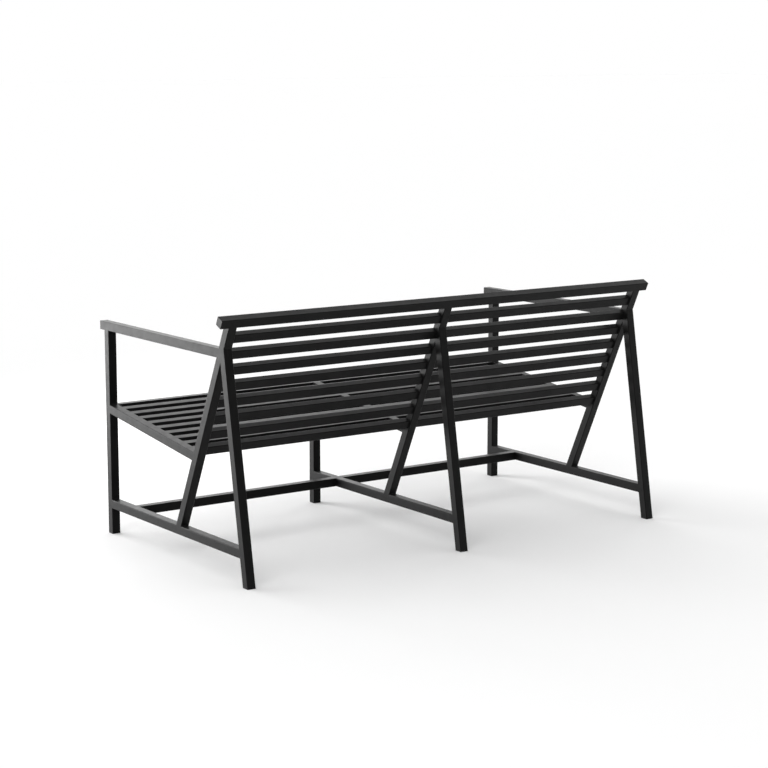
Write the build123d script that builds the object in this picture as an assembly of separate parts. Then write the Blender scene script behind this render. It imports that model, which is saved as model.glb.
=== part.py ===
# Two-seat slatted lounge sofa for the porch, welded from square aluminium tube.
# Three flat frames stand across the width; slats, beams and stretchers join them.
# X runs along the seat, the sitter faces -Y, Z is up, and left is the sitter's left.
# The origin is on the floor, under the middle of the sofa's outline.
from build123d import *
from math import cos, hypot, radians, sin, sqrt
import os

# Tube stock
tube = 25.0
wall = 2.0
edge_radius = 2.0
slat_width = 25.0
slat_depth = 20.0

# The three frames
frame_span = 1400.0
overall_depth = 792.0
front_overhang = 25.0
bottom_rail_height = 100.0
seat_front_height = 375.0
armrest_height = 612.0
stretcher_setback = 97.0

# Seat and back
seat_angle = 7.0
back_angle = 25.0
slat_gap = 25.0
seat_slat_count = 9
back_slat_count = 8
top_rail_overhang = 25.0

# End caps, foot glides and welds
cap_thickness = 2.0
cap_round_share = 0.5
glide_thickness = 4.0
plug_length = 16.0
plug_clearance = 0.3
bead_leg = 5.0
bead_fill_share = 1.12

# How far the cutting blocks and the uncut bars reach past a joint
overrun = 3 * tube

# Widths that follow from the sizes above
pitch = slat_width + slat_gap
bay = (frame_span - 3 * tube) / 2
frame_centres = {"left": (frame_span - tube) / 2, "middle": 0, "right": (tube - frame_span) / 2}
bay_centres = {"left": (bay + tube) / 2, "right": -(bay + tube) / 2}


def step(point, *moves):
    """Walk from a (y, z) point by any number of (direction, distance) moves."""
    y, z = point
    for direction, distance in moves:
        y += direction[0] * distance
        z += direction[1] * distance
    return (y, z)


def climb(point, direction, height):
    """Slide a (y, z) point along a direction until it is at a height."""
    return step(point, (direction, (height - point[1]) / direction[1]))


def meeting(first, first_run, second, second_run):
    """Where two lines of a frame's plane cross, each given by a point and a direction."""
    turn = first_run[0] * second_run[1] - first_run[1] * second_run[0]
    gap = (second[0] - first[0], second[1] - first[1])
    return step(first, (first_run, (gap[0] * second_run[1] - gap[1] * second_run[0]) / turn))


def opposite(direction):
    """The same direction the other way round."""
    return (-direction[0], -direction[1])


# Directions in the plane of a frame, as (y, z)
up = (0, 1)
down = (0, -1)
front = (-1, 0)
back = (1, 0)
seat_run = (cos(radians(seat_angle)), -sin(radians(seat_angle)))
seat_rise = (sin(radians(seat_angle)), cos(radians(seat_angle)))
back_run = (sin(radians(back_angle)), cos(radians(back_angle)))
back_out = (cos(radians(back_angle)), -sin(radians(back_angle)))

# Outline of a frame: the front leg, then the top of the seat, then the front of the back
leg_front = front_overhang - overall_depth / 2
leg_rear = leg_front + tube
seat_start = (leg_rear, seat_front_height)
seat_end = step(seat_start, (seat_run, slat_gap + seat_slat_count * pitch))
back_top = step(seat_end, (back_run, back_slat_count * pitch))

# The rear leg: its back face runs from the floor to the back of the strut at armrest height
rake_foot = (overall_depth / 2, 0)
rake_tip = climb(step(seat_end, (back_out, tube)), back_run, armrest_height)
rake_length = hypot(rake_tip[0] - rake_foot[0], rake_tip[1] - rake_foot[1])
rake_run = ((rake_tip[0] - rake_foot[0]) / rake_length, (rake_tip[1] - rake_foot[1]) / rake_length)
rake_in = (-rake_run[1], rake_run[0])

# Centre lines
leg_line = leg_front + tube / 2
rail_line = bottom_rail_height - tube / 2
armrest_line = armrest_height - tube / 2
strut_core = step(seat_end, (back_out, tube / 2))
rake_core = step(rake_foot, (rake_in, tube / 2))
seat_core = step(seat_start, (seat_rise, -tube / 2))
top_core = step(back_top, (back_out, tube / 2), (back_run, tube / 2))


def frame_plane(x, point, direction):
    """Plane square to a run in a frame, with the sofa's width as its own X."""
    return Plane(origin=(x, *point), x_dir=(1, 0, 0), z_dir=(0, *direction))


def width_plane(x, point, direction):
    """Plane square to the sofa's width, with a direction in a frame as its own X."""
    return Plane(origin=(x, *point), x_dir=(0, *direction), z_dir=(1, 0, 0))


def frame_bar(x, start, end, outline):
    """Bar of an outline between two (y, z) points of a frame, centred on x."""
    length = hypot(end[0] - start[0], end[1] - start[1])
    direction = ((end[0] - start[0]) / length, (end[1] - start[1]) / length)
    return extrude(frame_plane(x, start, direction) * outline, amount=length)


def tube_outline():
    """Section of a tube as if it were solid."""
    return RectangleRounded(tube, tube, edge_radius)


def bore_outline(clearance=0):
    """Section of a tube's bore, or of what slides in it with a clearance."""
    side = tube - 2 * wall - 2 * clearance
    return Rectangle(side, side)


def beyond(x, point, direction):
    """Block that fills what lies past a point of a frame in a direction."""
    block = frame_plane(x, point, direction) * Rectangle(overrun, overrun)
    return extrude(block, amount=overrun)


def front_leg_bar(x):
    """A front leg as a solid bar, up to the middle of the armrest."""
    return frame_bar(x, (leg_line, 0), (leg_line, armrest_line), tube_outline())


def rear_leg_bar(x, outline):
    """A rear leg as a bar of an outline, uncut at both ends."""
    low = step(rake_core, (rake_run, -tube))
    high = step(rake_core, (rake_run, rake_length + tube))
    return frame_bar(x, low, high, outline)


def strut_bar(x, outline):
    """A back strut as a bar of an outline, from inside the bottom rail into the top rail."""
    low = step(climb(strut_core, back_run, rail_line), (back_run, -tube))
    return frame_bar(x, low, top_core, outline)


def seat_rail_bar(x, outline):
    """A seat rail as a bar of an outline, run on into the leg and the strut."""
    low = step(seat_core, (seat_run, -tube / 2))
    high = step(seat_core, (seat_run, slat_gap + seat_slat_count * pitch + tube))
    return frame_bar(x, low, high, outline)


def bottom_rail_bar(x, outline):
    """A bottom rail as a bar of an outline, run on into both legs."""
    high = step(climb(rake_core, rake_run, rail_line), (back, tube))
    return frame_bar(x, (leg_line, rail_line), high, outline)


def armrest_bar(x, outline):
    """An armrest as a bar of an outline, run on into the strut."""
    high = step(climb(strut_core, back_run, armrest_line), (back, tube))
    return frame_bar(x, (-overall_depth / 2 + cap_thickness, armrest_line), high, outline)


def top_rail_bar():
    """The top rail as a solid bar as long as the frames are apart."""
    plane = width_plane(-frame_span / 2, top_core, back_run)
    return extrude(plane * tube_outline(), amount=frame_span)


def front_leg(x, armed):
    """Upright front tube, coped under the armrest or ending below the middle leg's cap."""
    high = armrest_line if armed else seat_front_height - cap_thickness
    run = ((leg_line, glide_thickness), (leg_line, high))
    leg = frame_bar(x, *run, tube_outline()) - frame_bar(x, *run, bore_outline())
    return leg - armrest_bar(x, tube_outline()) if armed else leg


def rear_leg(x):
    """Raking rear tube, cut level for its glide and coped to the back of the strut."""
    leg = rear_leg_bar(x, tube_outline()) - rear_leg_bar(x, bore_outline())
    leg -= beyond(x, (rake_foot[0], glide_thickness), down)
    leg -= beyond(x, climb(strut_core, back_run, armrest_height), opposite(back_out))
    return leg - strut_bar(x, tube_outline())


def bottom_rail(x):
    """Level tube low down, coped between the front leg and the rear leg."""
    rail = bottom_rail_bar(x, tube_outline()) - bottom_rail_bar(x, bore_outline())
    rail -= beyond(x, climb(rake_core, rake_run, rail_line), opposite(rake_in))
    return rail - front_leg_bar(x) - rear_leg_bar(x, tube_outline())


def back_strut(x):
    """Leaning tube that carries the back slats, from the bottom rail to the top rail."""
    strut = strut_bar(x, tube_outline()) - strut_bar(x, bore_outline())
    strut -= beyond(x, climb(strut_core, back_run, rail_line), down)
    return strut - bottom_rail_bar(x, tube_outline()) - top_rail_bar()


def seat_rail(x):
    """Falling tube that carries the seat slats, coped between the front leg and the strut."""
    rail = seat_rail_bar(x, tube_outline()) - seat_rail_bar(x, bore_outline())
    rail -= beyond(x, meeting(strut_core, back_run, seat_core, seat_run), back_out)
    return rail - front_leg_bar(x) - strut_bar(x, tube_outline())


def armrest(x):
    """Level tube over the front leg, from the cap on its nose to the front of the strut."""
    rest = armrest_bar(x, tube_outline()) - armrest_bar(x, bore_outline())
    rest -= beyond(x, climb(strut_core, back_run, armrest_line), back_out)
    return rest - strut_bar(x, tube_outline())


def top_rail():
    """One tube along the head of the back, square to the struts and level with their faces."""
    length = frame_span + 2 * top_rail_overhang - 2 * cap_thickness
    plane = width_plane(-length / 2, top_core, back_run)
    return extrude(plane * (tube_outline() - bore_outline()), amount=length)


def frame_bars(name):
    """The solid bars of a frame that tubes across a bay are coped to."""
    x = frame_centres[name]
    bars = [front_leg_bar(x)]
    bars += [bar(x, tube_outline()) for bar in (seat_rail_bar, strut_bar, bottom_rail_bar)]
    if name != "middle":
        bars.append(armrest_bar(x, tube_outline()))
    return bars


def cross_tube(name, centre, run, width, depth):
    """Tube across a bay, coped to the frame at each end: its width lies along run."""
    skin = RectangleRounded(width, depth, edge_radius)
    skin -= Rectangle(width - 2 * wall, depth - 2 * wall)
    plane = width_plane(bay_centres[name], centre, run)
    bar = extrude(plane * skin, amount=(bay + tube) / 2, both=True)
    return bar - frame_bars(name) - frame_bars("middle")


def seat_slat(name, index):
    """Seat slat, its top level with the tops of the seat rails; the first is at the front."""
    along = index * pitch - slat_width / 2
    centre = step(seat_start, (seat_run, along), (seat_rise, -slat_depth / 2))
    return cross_tube(name, centre, seat_run, slat_width, slat_depth)


def back_slat(name, index):
    """Back slat, its front level with the fronts of the struts; the first is the lowest."""
    along = index * pitch - slat_gap - slat_width / 2
    centre = step(seat_end, (back_run, along), (back_out, slat_depth / 2))
    return cross_tube(name, centre, back_run, slat_width, slat_depth)


def front_beam(name):
    """Level tube between the front legs, its top at the front height of the seat."""
    centre = (leg_line, seat_front_height - tube / 2)
    return cross_tube(name, centre, back, tube, tube)


def stretcher(name):
    """Low tube across a bay, level with the bottom rails."""
    centre = (leg_rear + stretcher_setback + tube / 2, rail_line)
    return cross_tube(name, centre, back, tube, tube)


def end_cap(plane):
    """Square plate on a plane, with the rim of its outer face rounded."""
    plate = extrude(plane * tube_outline(), amount=cap_thickness)
    outer = plate.faces().sort_by(Axis(plane.origin, plane.z_dir))[-1]
    return fillet(outer.edges(), min(cap_thickness, edge_radius) * cap_round_share)


def end_caps():
    """Plates that close the top rail, the fronts of the armrests and the middle leg."""
    reach = frame_span / 2 + top_rail_overhang - cap_thickness
    caps = []
    for side in (1, -1):
        rail_end = Plane(origin=(side * reach, *top_core), x_dir=(0, *back_run), z_dir=(side, 0, 0))
        caps.append(end_cap(rail_end))
        nose = (-overall_depth / 2 + cap_thickness, armrest_line)
        caps.append(end_cap(frame_plane(side * frame_centres["left"], nose, front)))
    leg_top = (leg_line, seat_front_height - cap_thickness)
    caps.append(end_cap(frame_plane(frame_centres["middle"], leg_top, up)))
    return Compound(children=caps)


def foot_glide(x, core, run):
    """Plastic foot: a pad under the end of the leg and a plug up inside its bore."""
    low = step(core, (run, -tube))
    high = step(core, (run, plug_length + tube))
    pad_layer = Pos(x, core[0], glide_thickness / 2) * Box(overrun, overrun, glide_thickness)
    plug_layer = Pos(x, core[0], plug_length / 2) * Box(overrun, overrun, plug_length)
    pad = frame_bar(x, low, high, tube_outline()) & pad_layer
    return pad + (frame_bar(x, low, high, bore_outline(plug_clearance)) & plug_layer)


def foot_glides():
    """The feet of the sofa, two to a frame."""
    feet = []
    for x in frame_centres.values():
        feet.append(foot_glide(x, (leg_line, 0), up))
        feet.append(foot_glide(x, climb(rake_core, rake_run, 0), rake_run))
    return Compound(children=feet)


def bead(plane, first, second):
    """Hollow-faced weld in the corner between two directions of a plane, centred on it."""
    sharpness = sqrt((1 - first[0] * second[0] - first[1] * second[1]) / 2)
    throat_share = bead_fill_share / (1 + sharpness)
    start = (first[0] * bead_leg, first[1] * bead_leg)
    end = (second[0] * bead_leg, second[1] * bead_leg)
    throat = ((start[0] + end[0]) / 2 * throat_share, (start[1] + end[1]) / 2 * throat_share)
    outline = Polyline(end, (0, 0), start) + ThreePointArc(start, throat, end)
    return extrude(plane * make_face(outline), amount=tube / 2 - edge_radius, both=True)


def frame_corners(armed):
    """Soft inside corners of a frame: where each is, and the two directions it opens along."""
    strut_rear = step(seat_end, (back_out, tube))
    rake_front = step(rake_foot, (rake_in, tube))
    under_seat = step(seat_start, (seat_rise, -tube))
    under_rail = bottom_rail_height - tube
    corners = [
        ((leg_rear, bottom_rail_height), up, back),
        (meeting(under_seat, seat_run, seat_end, back_run), opposite(back_run), opposite(seat_run)),
        (climb(strut_rear, back_run, bottom_rail_height), back_run, back),
        (climb(rake_front, rake_run, under_rail), opposite(rake_run), front),
        (meeting(rake_front, rake_run, strut_rear, back_run), opposite(rake_run), opposite(back_run)),
    ]
    if armed:
        under_armrest = climb(seat_end, back_run, armrest_height - tube)
        corners.append((seat_start, up, seat_run))
        corners.append((under_armrest, opposite(back_run), front))
    return corners


def frame_beads(x, armed):
    """Welds in the soft inside corners of one frame."""
    beads = []
    for corner, first, second in frame_corners(armed):
        beads.append(bead(width_plane(x, corner, back), first, second))
    return beads


def weld_beads():
    """All the welds that stand proud; the others are ground flush."""
    beads = []
    for name, x in frame_centres.items():
        beads += frame_beads(x, name != "middle")
    return Compound(children=beads)


def build():
    """Every piece of the sofa by name."""
    pieces = {}
    for name, x in frame_centres.items():
        armed = name != "middle"
        pieces[f"{name}_front_leg"] = front_leg(x, armed)
        pieces[f"{name}_rear_leg"] = rear_leg(x)
        pieces[f"{name}_bottom_rail"] = bottom_rail(x)
        pieces[f"{name}_seat_rail"] = seat_rail(x)
        pieces[f"{name}_back_strut"] = back_strut(x)
        if armed:
            pieces[f"{name}_armrest"] = armrest(x)
    for name in bay_centres:
        pieces[f"{name}_stretcher"] = stretcher(name)
        pieces[f"{name}_front_beam"] = front_beam(name)
        for index in range(1, seat_slat_count + 1):
            pieces[f"{name}_seat_slat_{index}"] = seat_slat(name, index)
        for index in range(1, back_slat_count + 1):
            pieces[f"{name}_back_slat_{index}"] = back_slat(name, index)
    pieces["top_rail"] = top_rail()
    pieces["end_caps"] = end_caps()
    pieces["foot_glides"] = foot_glides()
    pieces["weld_beads"] = weld_beads()
    return pieces


os.makedirs("parts", exist_ok=True)
for node, shape in build().items():
    export_step(shape, f"parts/{node}.step")
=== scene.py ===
from math import cos, pi, radians, sin
import bmesh
import bpy
import numpy as np
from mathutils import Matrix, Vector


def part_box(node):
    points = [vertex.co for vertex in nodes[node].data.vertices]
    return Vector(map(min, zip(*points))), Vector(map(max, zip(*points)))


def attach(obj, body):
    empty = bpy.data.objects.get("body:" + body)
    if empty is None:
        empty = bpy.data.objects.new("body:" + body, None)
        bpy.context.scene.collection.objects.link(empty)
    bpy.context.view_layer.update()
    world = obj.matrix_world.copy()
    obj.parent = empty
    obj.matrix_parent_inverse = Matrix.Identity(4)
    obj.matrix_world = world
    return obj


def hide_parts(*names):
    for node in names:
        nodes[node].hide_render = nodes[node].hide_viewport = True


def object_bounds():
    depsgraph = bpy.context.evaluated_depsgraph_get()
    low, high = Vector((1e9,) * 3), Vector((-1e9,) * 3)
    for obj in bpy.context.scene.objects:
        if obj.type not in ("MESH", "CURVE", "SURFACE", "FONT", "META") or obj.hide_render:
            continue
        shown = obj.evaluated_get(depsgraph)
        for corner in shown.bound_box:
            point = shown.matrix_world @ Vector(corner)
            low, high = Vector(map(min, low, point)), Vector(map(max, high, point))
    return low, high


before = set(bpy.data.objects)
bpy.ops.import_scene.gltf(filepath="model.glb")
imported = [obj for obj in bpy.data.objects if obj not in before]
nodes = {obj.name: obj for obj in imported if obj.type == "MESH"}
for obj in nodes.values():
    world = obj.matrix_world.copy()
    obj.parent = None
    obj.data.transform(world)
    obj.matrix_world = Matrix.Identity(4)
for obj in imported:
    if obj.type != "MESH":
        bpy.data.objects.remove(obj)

# The outline that the imported model fills; its rear end sets where the rear legs stand
cad_low, cad_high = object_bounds()

# The three side frames: legs, rails, struts and armrests of 25 mm square aluminium tube.
# The tube is welded, dressed and then coated all over with satin black powder, baked to a skin
# whose surface keeps a very fine orange peel.
frame_names = ("left", "middle", "right")
side_names = ("left", "right")
frame_parts = ("front_leg", "rear_leg", "bottom_rail", "seat_rail", "back_strut")
coat_shade = 0.0035
coat_pale_shade = 0.0060
coat_roughness = 0.50
coat_roughness_swing = 0.03
# The share that the coat keeps of the usual reflection, where it is looked at head on
head_on_gleam = 0.08
shade_patch_size = 0.060
gloss_patch_size = 0.020
peel_size = 0.0030
peel_height = 0.00006
grit_size = 0.0008
grit_height = 0.000015
# How many finer layers a noise has over its first one
plain_detail = 1
fine_detail = 2
rich_detail = 3
# The stretches of a noise, out of 0 to 1, that are spread over a whole range of values
ramp_low, ramp_high = 0.35, 0.65
noise_low, noise_high = 0.3, 0.7
frame_shift = 0.0


def link(tree, source, output, target, socket):
    """Joins an output of one node to an input of another."""
    tree.links.new(source.outputs[output], target.inputs[socket])


def grain(tree, coordinates, size, detail):
    """Noise whose lumps are about one size across, in metres, on the piece's own coordinates."""
    noise = tree.nodes.new("ShaderNodeTexNoise")
    noise.inputs["Scale"].default_value = 1 / size
    noise.inputs["Detail"].default_value = detail
    tree.links.new(coordinates, noise.inputs["Vector"])
    return noise.outputs["Fac"]


def spread(tree, value, low, high):
    """Stretches the middle of a noise over a range of values."""
    span = tree.nodes.new("ShaderNodeMapRange")
    span.inputs["From Min"].default_value = noise_low
    span.inputs["From Max"].default_value = noise_high
    span.inputs["To Min"].default_value = low
    span.inputs["To Max"].default_value = high
    tree.links.new(value, span.inputs["Value"])
    return span.outputs["Result"]


def bump(tree, coordinates, size, detail, height):
    """Small lumps of one size and height, in metres, that tilt the surface as it is shaded."""
    lumps = tree.nodes.new("ShaderNodeBump")
    lumps.inputs["Distance"].default_value = height
    tree.links.new(grain(tree, coordinates, size, detail), lumps.inputs["Height"])
    return lumps


def powder_coat(name, shift):
    """Baked powder: near black, satin, with patchy gloss and an orange peel; shift slides its patches."""
    material = bpy.data.materials.new(name)
    material.use_nodes = True
    tree = material.node_tree
    shader = tree.nodes["Principled BSDF"]
    texture_place = tree.nodes.new("ShaderNodeTexCoord")
    slide = tree.nodes.new("ShaderNodeMapping")
    slide.inputs["Location"].default_value = (shift, 0, 0)
    link(tree, texture_place, "Object", slide, "Vector")
    place = slide.outputs["Vector"]
    ramp = tree.nodes.new("ShaderNodeValToRGB")
    dark_end, pale_end = ramp.color_ramp.elements
    dark_end.position = ramp_low
    dark_end.color = (coat_shade, coat_shade, coat_shade, 1)
    pale_end.position = ramp_high
    pale_end.color = (coat_pale_shade, coat_pale_shade, coat_pale_shade, 1)
    tree.links.new(grain(tree, place, shade_patch_size, rich_detail), ramp.inputs["Fac"])
    link(tree, ramp, "Color", shader, "Base Color")
    low = coat_roughness - coat_roughness_swing
    high = coat_roughness + coat_roughness_swing
    gloss = spread(tree, grain(tree, place, gloss_patch_size, fine_detail), low, high)
    tree.links.new(gloss, shader.inputs["Roughness"])
    peel = bump(tree, place, peel_size, fine_detail, peel_height)
    grit = bump(tree, place, grit_size, plain_detail, grit_height)
    link(tree, grit, "Normal", peel, "Normal")
    link(tree, peel, "Normal", shader, "Normal")
    shader.inputs["Specular Tint"].default_value = (head_on_gleam, head_on_gleam, head_on_gleam, 1)
    return material


def finish_nodes(names, material):
    """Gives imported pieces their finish."""
    for name in names:
        nodes[name].material_slots[0].material = material


frame_coat = powder_coat("frame_powder_coat", frame_shift)
for name in frame_names:
    finish_nodes([f"{name}_{part}" for part in frame_parts], frame_coat)
finish_nodes([f"{name}_armrest" for name in side_names], frame_coat)

# Weld beads: fillets of weld metal left in seven kinds of inside corner, under the powder.
# Each is one pass of the torch across a tube, so its face is hollow and faintly rippled, and its
# ends die out where the tube's edges are rounded.
tube = 0.025
tube_rounding = 0.002
seat_angle = radians(7)
back_angle = radians(25)
weld_leg = 0.005
# How far the middle of the hollow face stands from the corner, as a share of a flat face's distance
weld_hollow_share = 0.656
weld_end_power = 8
ripple_pitch = 0.0017
ripple_height = 0.00009
# How far a ripple trails behind in the middle of the face, in half turns of its wave
ripple_tail = 0.8
across_steps = 60
face_steps = 14
merge_distance = 0.000001


def unit(y, z):
    """A direction in the plane of a frame, of length one."""
    return np.array((y, z)) / np.hypot(y, z)


def meeting(first, first_run, second, second_run):
    """Where two lines of a frame's plane cross: first + t first_run lies on the second line."""
    t, _ = np.linalg.solve(np.column_stack((first_run, -second_run)), second - first)
    return first + t * first_run


def bead_surface(x, corner, first, second):
    """One bead as a grid: u, from -1 to 1, runs across the tube, and s, from 0 to 1, round the face.
    The face runs from toe to toe as leg * ((1 - s)^k first + s^k second), hollow because k is over 1.
    It is raised by ripples, height * sin(pi s)^2 cos(2 pi u width / pitch + pi tail (1 - (2s - 1)^2)).
    All of it is drawn in to the corner at both ends of u by (1 - |u|^p)^(1/p), p being the end power.
    The corner itself closes each section."""
    across = np.linspace(-1, 1, across_steps)[:, None]
    share = np.linspace(0, 1, face_steps)[None, :]
    hollow = 1 - np.log2(weld_hollow_share)
    reach = weld_leg * (1 - np.abs(across) ** weld_end_power) ** (1 / weld_end_power)
    width = tube / 2 - tube_rounding
    phase = 2 * pi * across * width / ripple_pitch + ripple_tail * pi * (1 - (2 * share - 1) ** 2)
    lift = ripple_height * np.sin(pi * share) ** 2 * np.cos(phase) * reach / weld_leg
    along_first = reach * (1 - share) ** hollow + lift
    along_second = reach * share ** hollow + lift
    face = along_first[..., None] * first + along_second[..., None] * second
    root = np.zeros((across_steps, 1, 2))
    section = corner + np.concatenate((face, root), axis=1)
    place = np.broadcast_to(x + across * width, section.shape[:2])
    return np.concatenate((place[..., None], section), axis=2)


def closed_mesh(name, grids):
    """Joins grids of points into one mesh. Each wraps round in its columns, and its first and its last
    row are each filled with one face."""
    points = []
    faces = []
    start = 0
    for grid in grids:
        rows, columns = grid.shape[:2]
        here = start + np.arange(rows * columns).reshape(rows, columns)
        ahead = np.roll(here, -1, axis=1)
        quads = np.stack((here[:-1], ahead[:-1], ahead[1:], here[1:]), axis=-1).reshape(-1, 4)
        points.append(grid.reshape(-1, 3))
        faces += quads.tolist() + [here[0].tolist()[::-1], here[-1].tolist()]
        start += rows * columns
    mesh = bpy.data.meshes.new(name)
    mesh.from_pydata(np.concatenate(points).tolist(), [], faces)
    mesh.polygons.foreach_set("use_smooth", [True] * len(mesh.polygons))
    merged = bmesh.new()
    merged.from_mesh(mesh)
    bmesh.ops.remove_doubles(merged, verts=merged.verts, dist=merge_distance)
    bmesh.ops.recalc_face_normals(merged, faces=merged.faces)
    merged.to_mesh(mesh)
    merged.free()
    piece = bpy.data.objects.new(name, mesh)
    bpy.context.scene.collection.objects.link(piece)
    return piece


def low_corner(node):
    """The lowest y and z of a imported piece, as a point in the plane of its frame."""
    return np.array(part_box(node)[0])[1:]


def high_corner(node):
    """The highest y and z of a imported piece, as a point in the plane of its frame."""
    return np.array(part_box(node)[1])[1:]


def frame_middle(name):
    """The x of the middle of a frame's tubes."""
    low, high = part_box(f"{name}_front_leg")
    return (low.x + high.x) / 2


up = unit(0, 1)
front = unit(-1, 0)
back = unit(1, 0)
seat_run = unit(cos(seat_angle), -sin(seat_angle))
seat_rise = unit(sin(seat_angle), cos(seat_angle))
back_run = unit(sin(back_angle), cos(back_angle))
back_out = unit(cos(back_angle), -sin(back_angle))
leg_back = high_corner("left_front_leg")[0]
rail_top = high_corner("left_stretcher")[1]
rail_underside = low_corner("left_stretcher")[1]
seat_start = np.array((leg_back, high_corner("left_front_beam")[1]))
armrest_top = high_corner("left_armrest")[1]
armrest_underside = low_corner("left_armrest")[1]
strut_foot = low_corner("left_back_strut")
strut_back = strut_foot + back_out * tube
rake_foot = np.array((cad_high[1], 0.0))
rake_tip = meeting(strut_back, back_run, np.array((0.0, armrest_top)), back)
rake_run = unit(*(rake_tip - rake_foot))
rake_front = rake_foot + np.array((-rake_run[1], rake_run[0])) * tube
seat_under = seat_start - seat_rise * tube


def soft_corners(armed):
    """The corners of a frame that keep a bead: the point, and the two directions that it opens along."""
    found = [
        (np.array((leg_back, rail_top)), up, back),
        (meeting(seat_under, seat_run, strut_foot, back_run), -back_run, -seat_run),
        (meeting(strut_back, back_run, np.array((0.0, rail_top)), back), back_run, back),
        (meeting(rake_front, rake_run, np.array((0.0, rail_underside)), back), -rake_run, front),
        (meeting(rake_front, rake_run, strut_back, back_run), -rake_run, -back_run),
    ]
    if armed:
        under_armrest = np.array((0.0, armrest_underside))
        found.append((seat_start, up, seat_run))
        found.append((meeting(strut_foot, back_run, under_armrest, back), -back_run, front))
    return found


beads = []
for name in frame_names:
    for corner, first, second in soft_corners(name in side_names):
        beads.append(bead_surface(frame_middle(name), corner, first, second))
weld_fillets = closed_mesh("weld_fillets", beads)
weld_fillets.data.materials.append(frame_coat)
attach(weld_fillets, "root")
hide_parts("weld_beads")

# Stretchers and front beams: the same tube, level across each bay, welded between the frames.
# The stretchers tie the bottom rails and the beams tie the front legs under the seat.
cross_shift = 1.7
cross_coat = powder_coat("cross_tube_powder_coat", cross_shift)
for name in side_names:
    finish_nodes([f"{name}_stretcher", f"{name}_front_beam"], cross_coat)

# Seat slats: nine flat tubes to a bay, 25 mm wide, their tops level with the seat rails.
# They are welded at both ends between the rails.
seat_slat_count = 9
seat_shift = 3.1
seat_coat = powder_coat("seat_slat_powder_coat", seat_shift)
for name in side_names:
    finish_nodes([f"{name}_seat_slat_{index + 1}" for index in range(seat_slat_count)], seat_coat)

# Back slats and top rail: eight slats to a bay between the struts, and one tube over all three.
# The slats are flush with the fronts of the struts, and the rail is square to them. Welded plates
# close the ends of the rail, the fronts of the armrests and the top of the middle front leg.
back_slat_count = 8
back_shift = 4.9
back_coat = powder_coat("back_powder_coat", back_shift)
for name in side_names:
    finish_nodes([f"{name}_back_slat_{index + 1}" for index in range(back_slat_count)], back_coat)
finish_nodes(["top_rail", "end_caps"], back_coat)

# Foot glides: pads of black plastic, each moulded in one with a plug that is pushed up inside a leg.
# The pad is as wide as the tube, its lower rim is rounded, and a fine step shows where it meets the tube.
glide_thickness = 0.004
plug_length = 0.016
plug_inset = 0.0023
glide_rim = 0.0009
seam_step = 0.0003
least_rounding = 0.0005
# How far in from the tube's faces the flat middle of the underside, and of the plug's top, begins
core_inset = tube / 4
quarter_steps = 7
rim_steps = 5
glide_shade = 0.0040
glide_pale_shade = 0.0065
glide_roughness = 0.6
glide_roughness_swing = 0.06
glide_patch_size = 0.015
glide_gloss_size = 0.0016
spark_height = 0.00006


def glide_surface(x, y, lean):
    """One glide as a grid: the rows climb the profile and v runs once round a rounded square.
    The square is its core's corners plus a circle: (half - r) times the signs of the cosine and sine of
    v, plus r times the cosine and sine. A leaning leg cuts it longer, by the root of 1 + lean squared,
    and carries it along by lean * z."""
    quarter = np.linspace(0, pi / 2, quarter_steps)
    turn = np.concatenate([quarter + side * pi / 2 for side in range(4)])[None, :]
    side_x = np.repeat((1, -1, -1, 1), quarter_steps)[None, :]
    side_y = np.repeat((1, 1, -1, -1), quarter_steps)[None, :]
    rim = np.linspace(0, pi / 2, rim_steps)
    profile = [(core_inset, 0.0)]
    profile += [(glide_rim * (1 - sin(bend)), glide_rim * (1 - cos(bend))) for bend in rim]
    profile += [
        (0.0, glide_thickness - seam_step),
        (seam_step, glide_thickness),
        (plug_inset, glide_thickness),
        (plug_inset, plug_length - seam_step),
        (plug_inset + seam_step, plug_length),
        (core_inset, plug_length),
    ]
    inset, height = np.array(profile).T[..., None]
    half = tube / 2 - inset
    rounding = np.maximum(tube_rounding - inset, least_rounding)
    across = (half - rounding) * side_x + rounding * np.cos(turn)
    along = (half - rounding) * side_y + rounding * np.sin(turn)
    stretch = np.hypot(1, lean)
    rise = np.broadcast_to(height, across.shape)
    return np.stack((x + across, y + along * stretch + lean * height, rise), axis=-1)


def moulded_plastic(name):
    """Moulded plastic: dull black with the fine spark of a textured mould."""
    material = bpy.data.materials.new(name)
    material.use_nodes = True
    tree = material.node_tree
    shader = tree.nodes["Principled BSDF"]
    place = tree.nodes.new("ShaderNodeTexCoord").outputs["Object"]
    tint = spread(tree, grain(tree, place, glide_patch_size, fine_detail), glide_shade, glide_pale_shade)
    tree.links.new(tint, shader.inputs["Base Color"])
    low = glide_roughness - glide_roughness_swing
    high = glide_roughness + glide_roughness_swing
    gloss = spread(tree, grain(tree, place, glide_gloss_size, plain_detail), low, high)
    tree.links.new(gloss, shader.inputs["Roughness"])
    spark = bump(tree, place, grit_size, fine_detail, spark_height)
    link(tree, spark, "Normal", shader, "Normal")
    shader.inputs["Specular Tint"].default_value = (head_on_gleam, head_on_gleam, head_on_gleam, 1)
    return material


glides = []
leg_middle = leg_back - tube / 2
rake_lean = rake_run[0] / rake_run[1]
rake_middle = rake_foot[0] - tube / 2 * np.hypot(1, rake_lean)
for name in frame_names:
    glides.append(glide_surface(frame_middle(name), leg_middle, 0.0))
    glides.append(glide_surface(frame_middle(name), rake_middle, rake_lean))
foot_pads = closed_mesh("foot_pads", glides)
foot_pads.data.materials.append(moulded_plastic("glide_plastic_black"))
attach(foot_pads, "root")
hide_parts("foot_glides")

# The floor: one level sheet of matt paint, far larger than the view.
# It is seen pale, and the light that it throws back up at the sofa is kept low, as on a wide stage.
floor_reach = 60.0
floor_shade = 0.98
floor_return = 0.30
floor_roughness = 0.9


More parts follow.
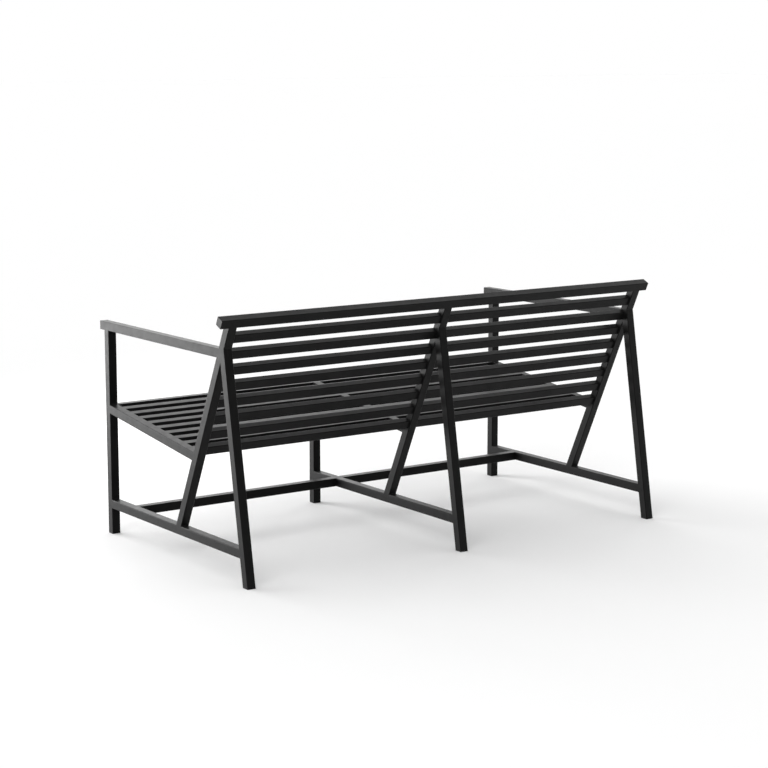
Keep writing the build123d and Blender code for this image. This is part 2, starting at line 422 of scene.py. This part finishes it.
def seen_or_lit(tree, lit, seen):
    """A level that is one number for rays that are looked along, mirrored or passed through, and another
    for rays that light a surface."""
    path = tree.nodes.new("ShaderNodeLightPath")
    looked = tree.nodes.new("ShaderNodeMath")
    looked.operation = "MAXIMUM"
    link(tree, path, "Is Camera Ray", looked, 0)
    link(tree, path, "Is Glossy Ray", looked, 1)
    passed = tree.nodes.new("ShaderNodeMath")
    passed.operation = "MAXIMUM"
    link(tree, looked, "Value", passed, 0)
    link(tree, path, "Is Transmission Ray", passed, 1)
    level = tree.nodes.new("ShaderNodeMapRange")
    level.inputs["To Min"].default_value = lit
    level.inputs["To Max"].default_value = seen
    link(tree, passed, "Value", level, "Value")
    return level


floor_mesh = bpy.data.meshes.new("floor")
floor_corners = [
    (-floor_reach, -floor_reach, 0),
    (floor_reach, -floor_reach, 0),
    (floor_reach, floor_reach, 0),
    (-floor_reach, floor_reach, 0),
]
floor_mesh.from_pydata(floor_corners, [], [(0, 1, 2, 3)])
floor = bpy.data.objects.new("floor", floor_mesh)
bpy.context.scene.collection.objects.link(floor)
floor_paint = bpy.data.materials.new("floor_paint")
floor_paint.use_nodes = True
paint = floor_paint.node_tree.nodes["Principled BSDF"]
paint.inputs["Roughness"].default_value = floor_roughness
paint.inputs["Specular IOR Level"].default_value = 0.0
pale = seen_or_lit(floor_paint.node_tree, floor_return, floor_shade)
link(floor_paint.node_tree, pale, "Result", paint, "Base Color")
floor_mesh.materials.append(floor_paint)

# The studio round it: a plain surround with no walls or windows.
# It is white as it is seen and mirrored, and gives a softer pale light from all sides.
surround_level = 0.68
surround_white = 1.0
world = bpy.data.worlds.new("studio")
bpy.context.scene.world = world
world.use_nodes = True
air = world.node_tree
surround = air.nodes["Background"]
surround.inputs["Color"].default_value = (1, 1, 1, 1)
link(air, seen_or_lit(air, surround_level, surround_white), "Result", surround, "Strength")

# The lamps: five broad soft lights round the sofa, and two upright soft boxes at its front left.
# The boxes give the left sides of the tubes their sheen. A soft light of level 1 that falls square
# on a white card lights it to white.
soft_lights = (
    # azimuth, elevation and breadth of the light in degrees, then its level
    (-150, 5, 20, 0.30),
    (-120, 5, 20, 0.04),
    (-110, 20, 40, 0.20),
    (-50, 20, 40, 0.30),
    (40, 20, 40, 0.40),
)
for number, (azimuth, elevation, breadth, level) in enumerate(soft_lights):
    lamp_data = bpy.data.lights.new(f"soft_light_{number + 1}", "SUN")
    lamp_data.angle = radians(breadth)
    lamp_data.energy = pi * level
    lamp = bpy.data.objects.new(lamp_data.name, lamp_data)
    lamp.rotation_euler = (pi / 2 - radians(elevation), 0, radians(azimuth) + pi / 2)
    bpy.context.scene.collection.objects.link(lamp)
box_width = 1.2
box_foot = 0.02
soft_boxes = (
    # x and y of the box, the height of its top, its brightness beside the white surround,
    # and whether it lights all that it faces or is only seen in the sheen
    (1.0, -2.6, 1.8, 6.5, True),
    (2.1, -2.0, 0.7, 9.0, False),
)
for number, (x, y, top, brightness, lights_all) in enumerate(soft_boxes):
    box_height = top - box_foot
    box_data = bpy.data.lights.new(f"soft_box_{number + 1}", "AREA")
    box_data.shape = "RECTANGLE"
    box_data.size = box_width
    box_data.size_y = box_height
    box_data.energy = pi * box_width * box_height * brightness
    box = bpy.data.objects.new(box_data.name, box_data)
    box.location = (x, y, (box_foot + top) / 2)
    box.rotation_euler = (pi / 2, 0, np.arctan2(y, x) + pi / 2)
    box.visible_camera = False
    box.visible_diffuse = lights_all
    bpy.context.scene.collection.objects.link(box)

# The camera: above and behind the sofa's left rear corner, looking a little down through a long lens.
# With no turn it would look straight from the back to the front, and with no dip it would look level.
camera_place = (3.347608, 4.779722, 1.393596)
camera_turn = radians(35.0543)
camera_dip = radians(9.5107)
camera_lens = 96.0442
camera_film = 36.0
camera_data = bpy.data.cameras.new("camera")
camera_data.lens = camera_lens
camera_data.sensor_width = camera_film
camera_data.clip_end = 2 * floor_reach
camera = bpy.data.objects.new("camera", camera_data)
camera.location = camera_place
camera.rotation_euler = (pi / 2 - camera_dip, 0, pi - camera_turn)
bpy.context.scene.collection.objects.link(camera)
bpy.context.scene.camera = camera
bpy.context.scene.view_settings.view_transform = "Standard"
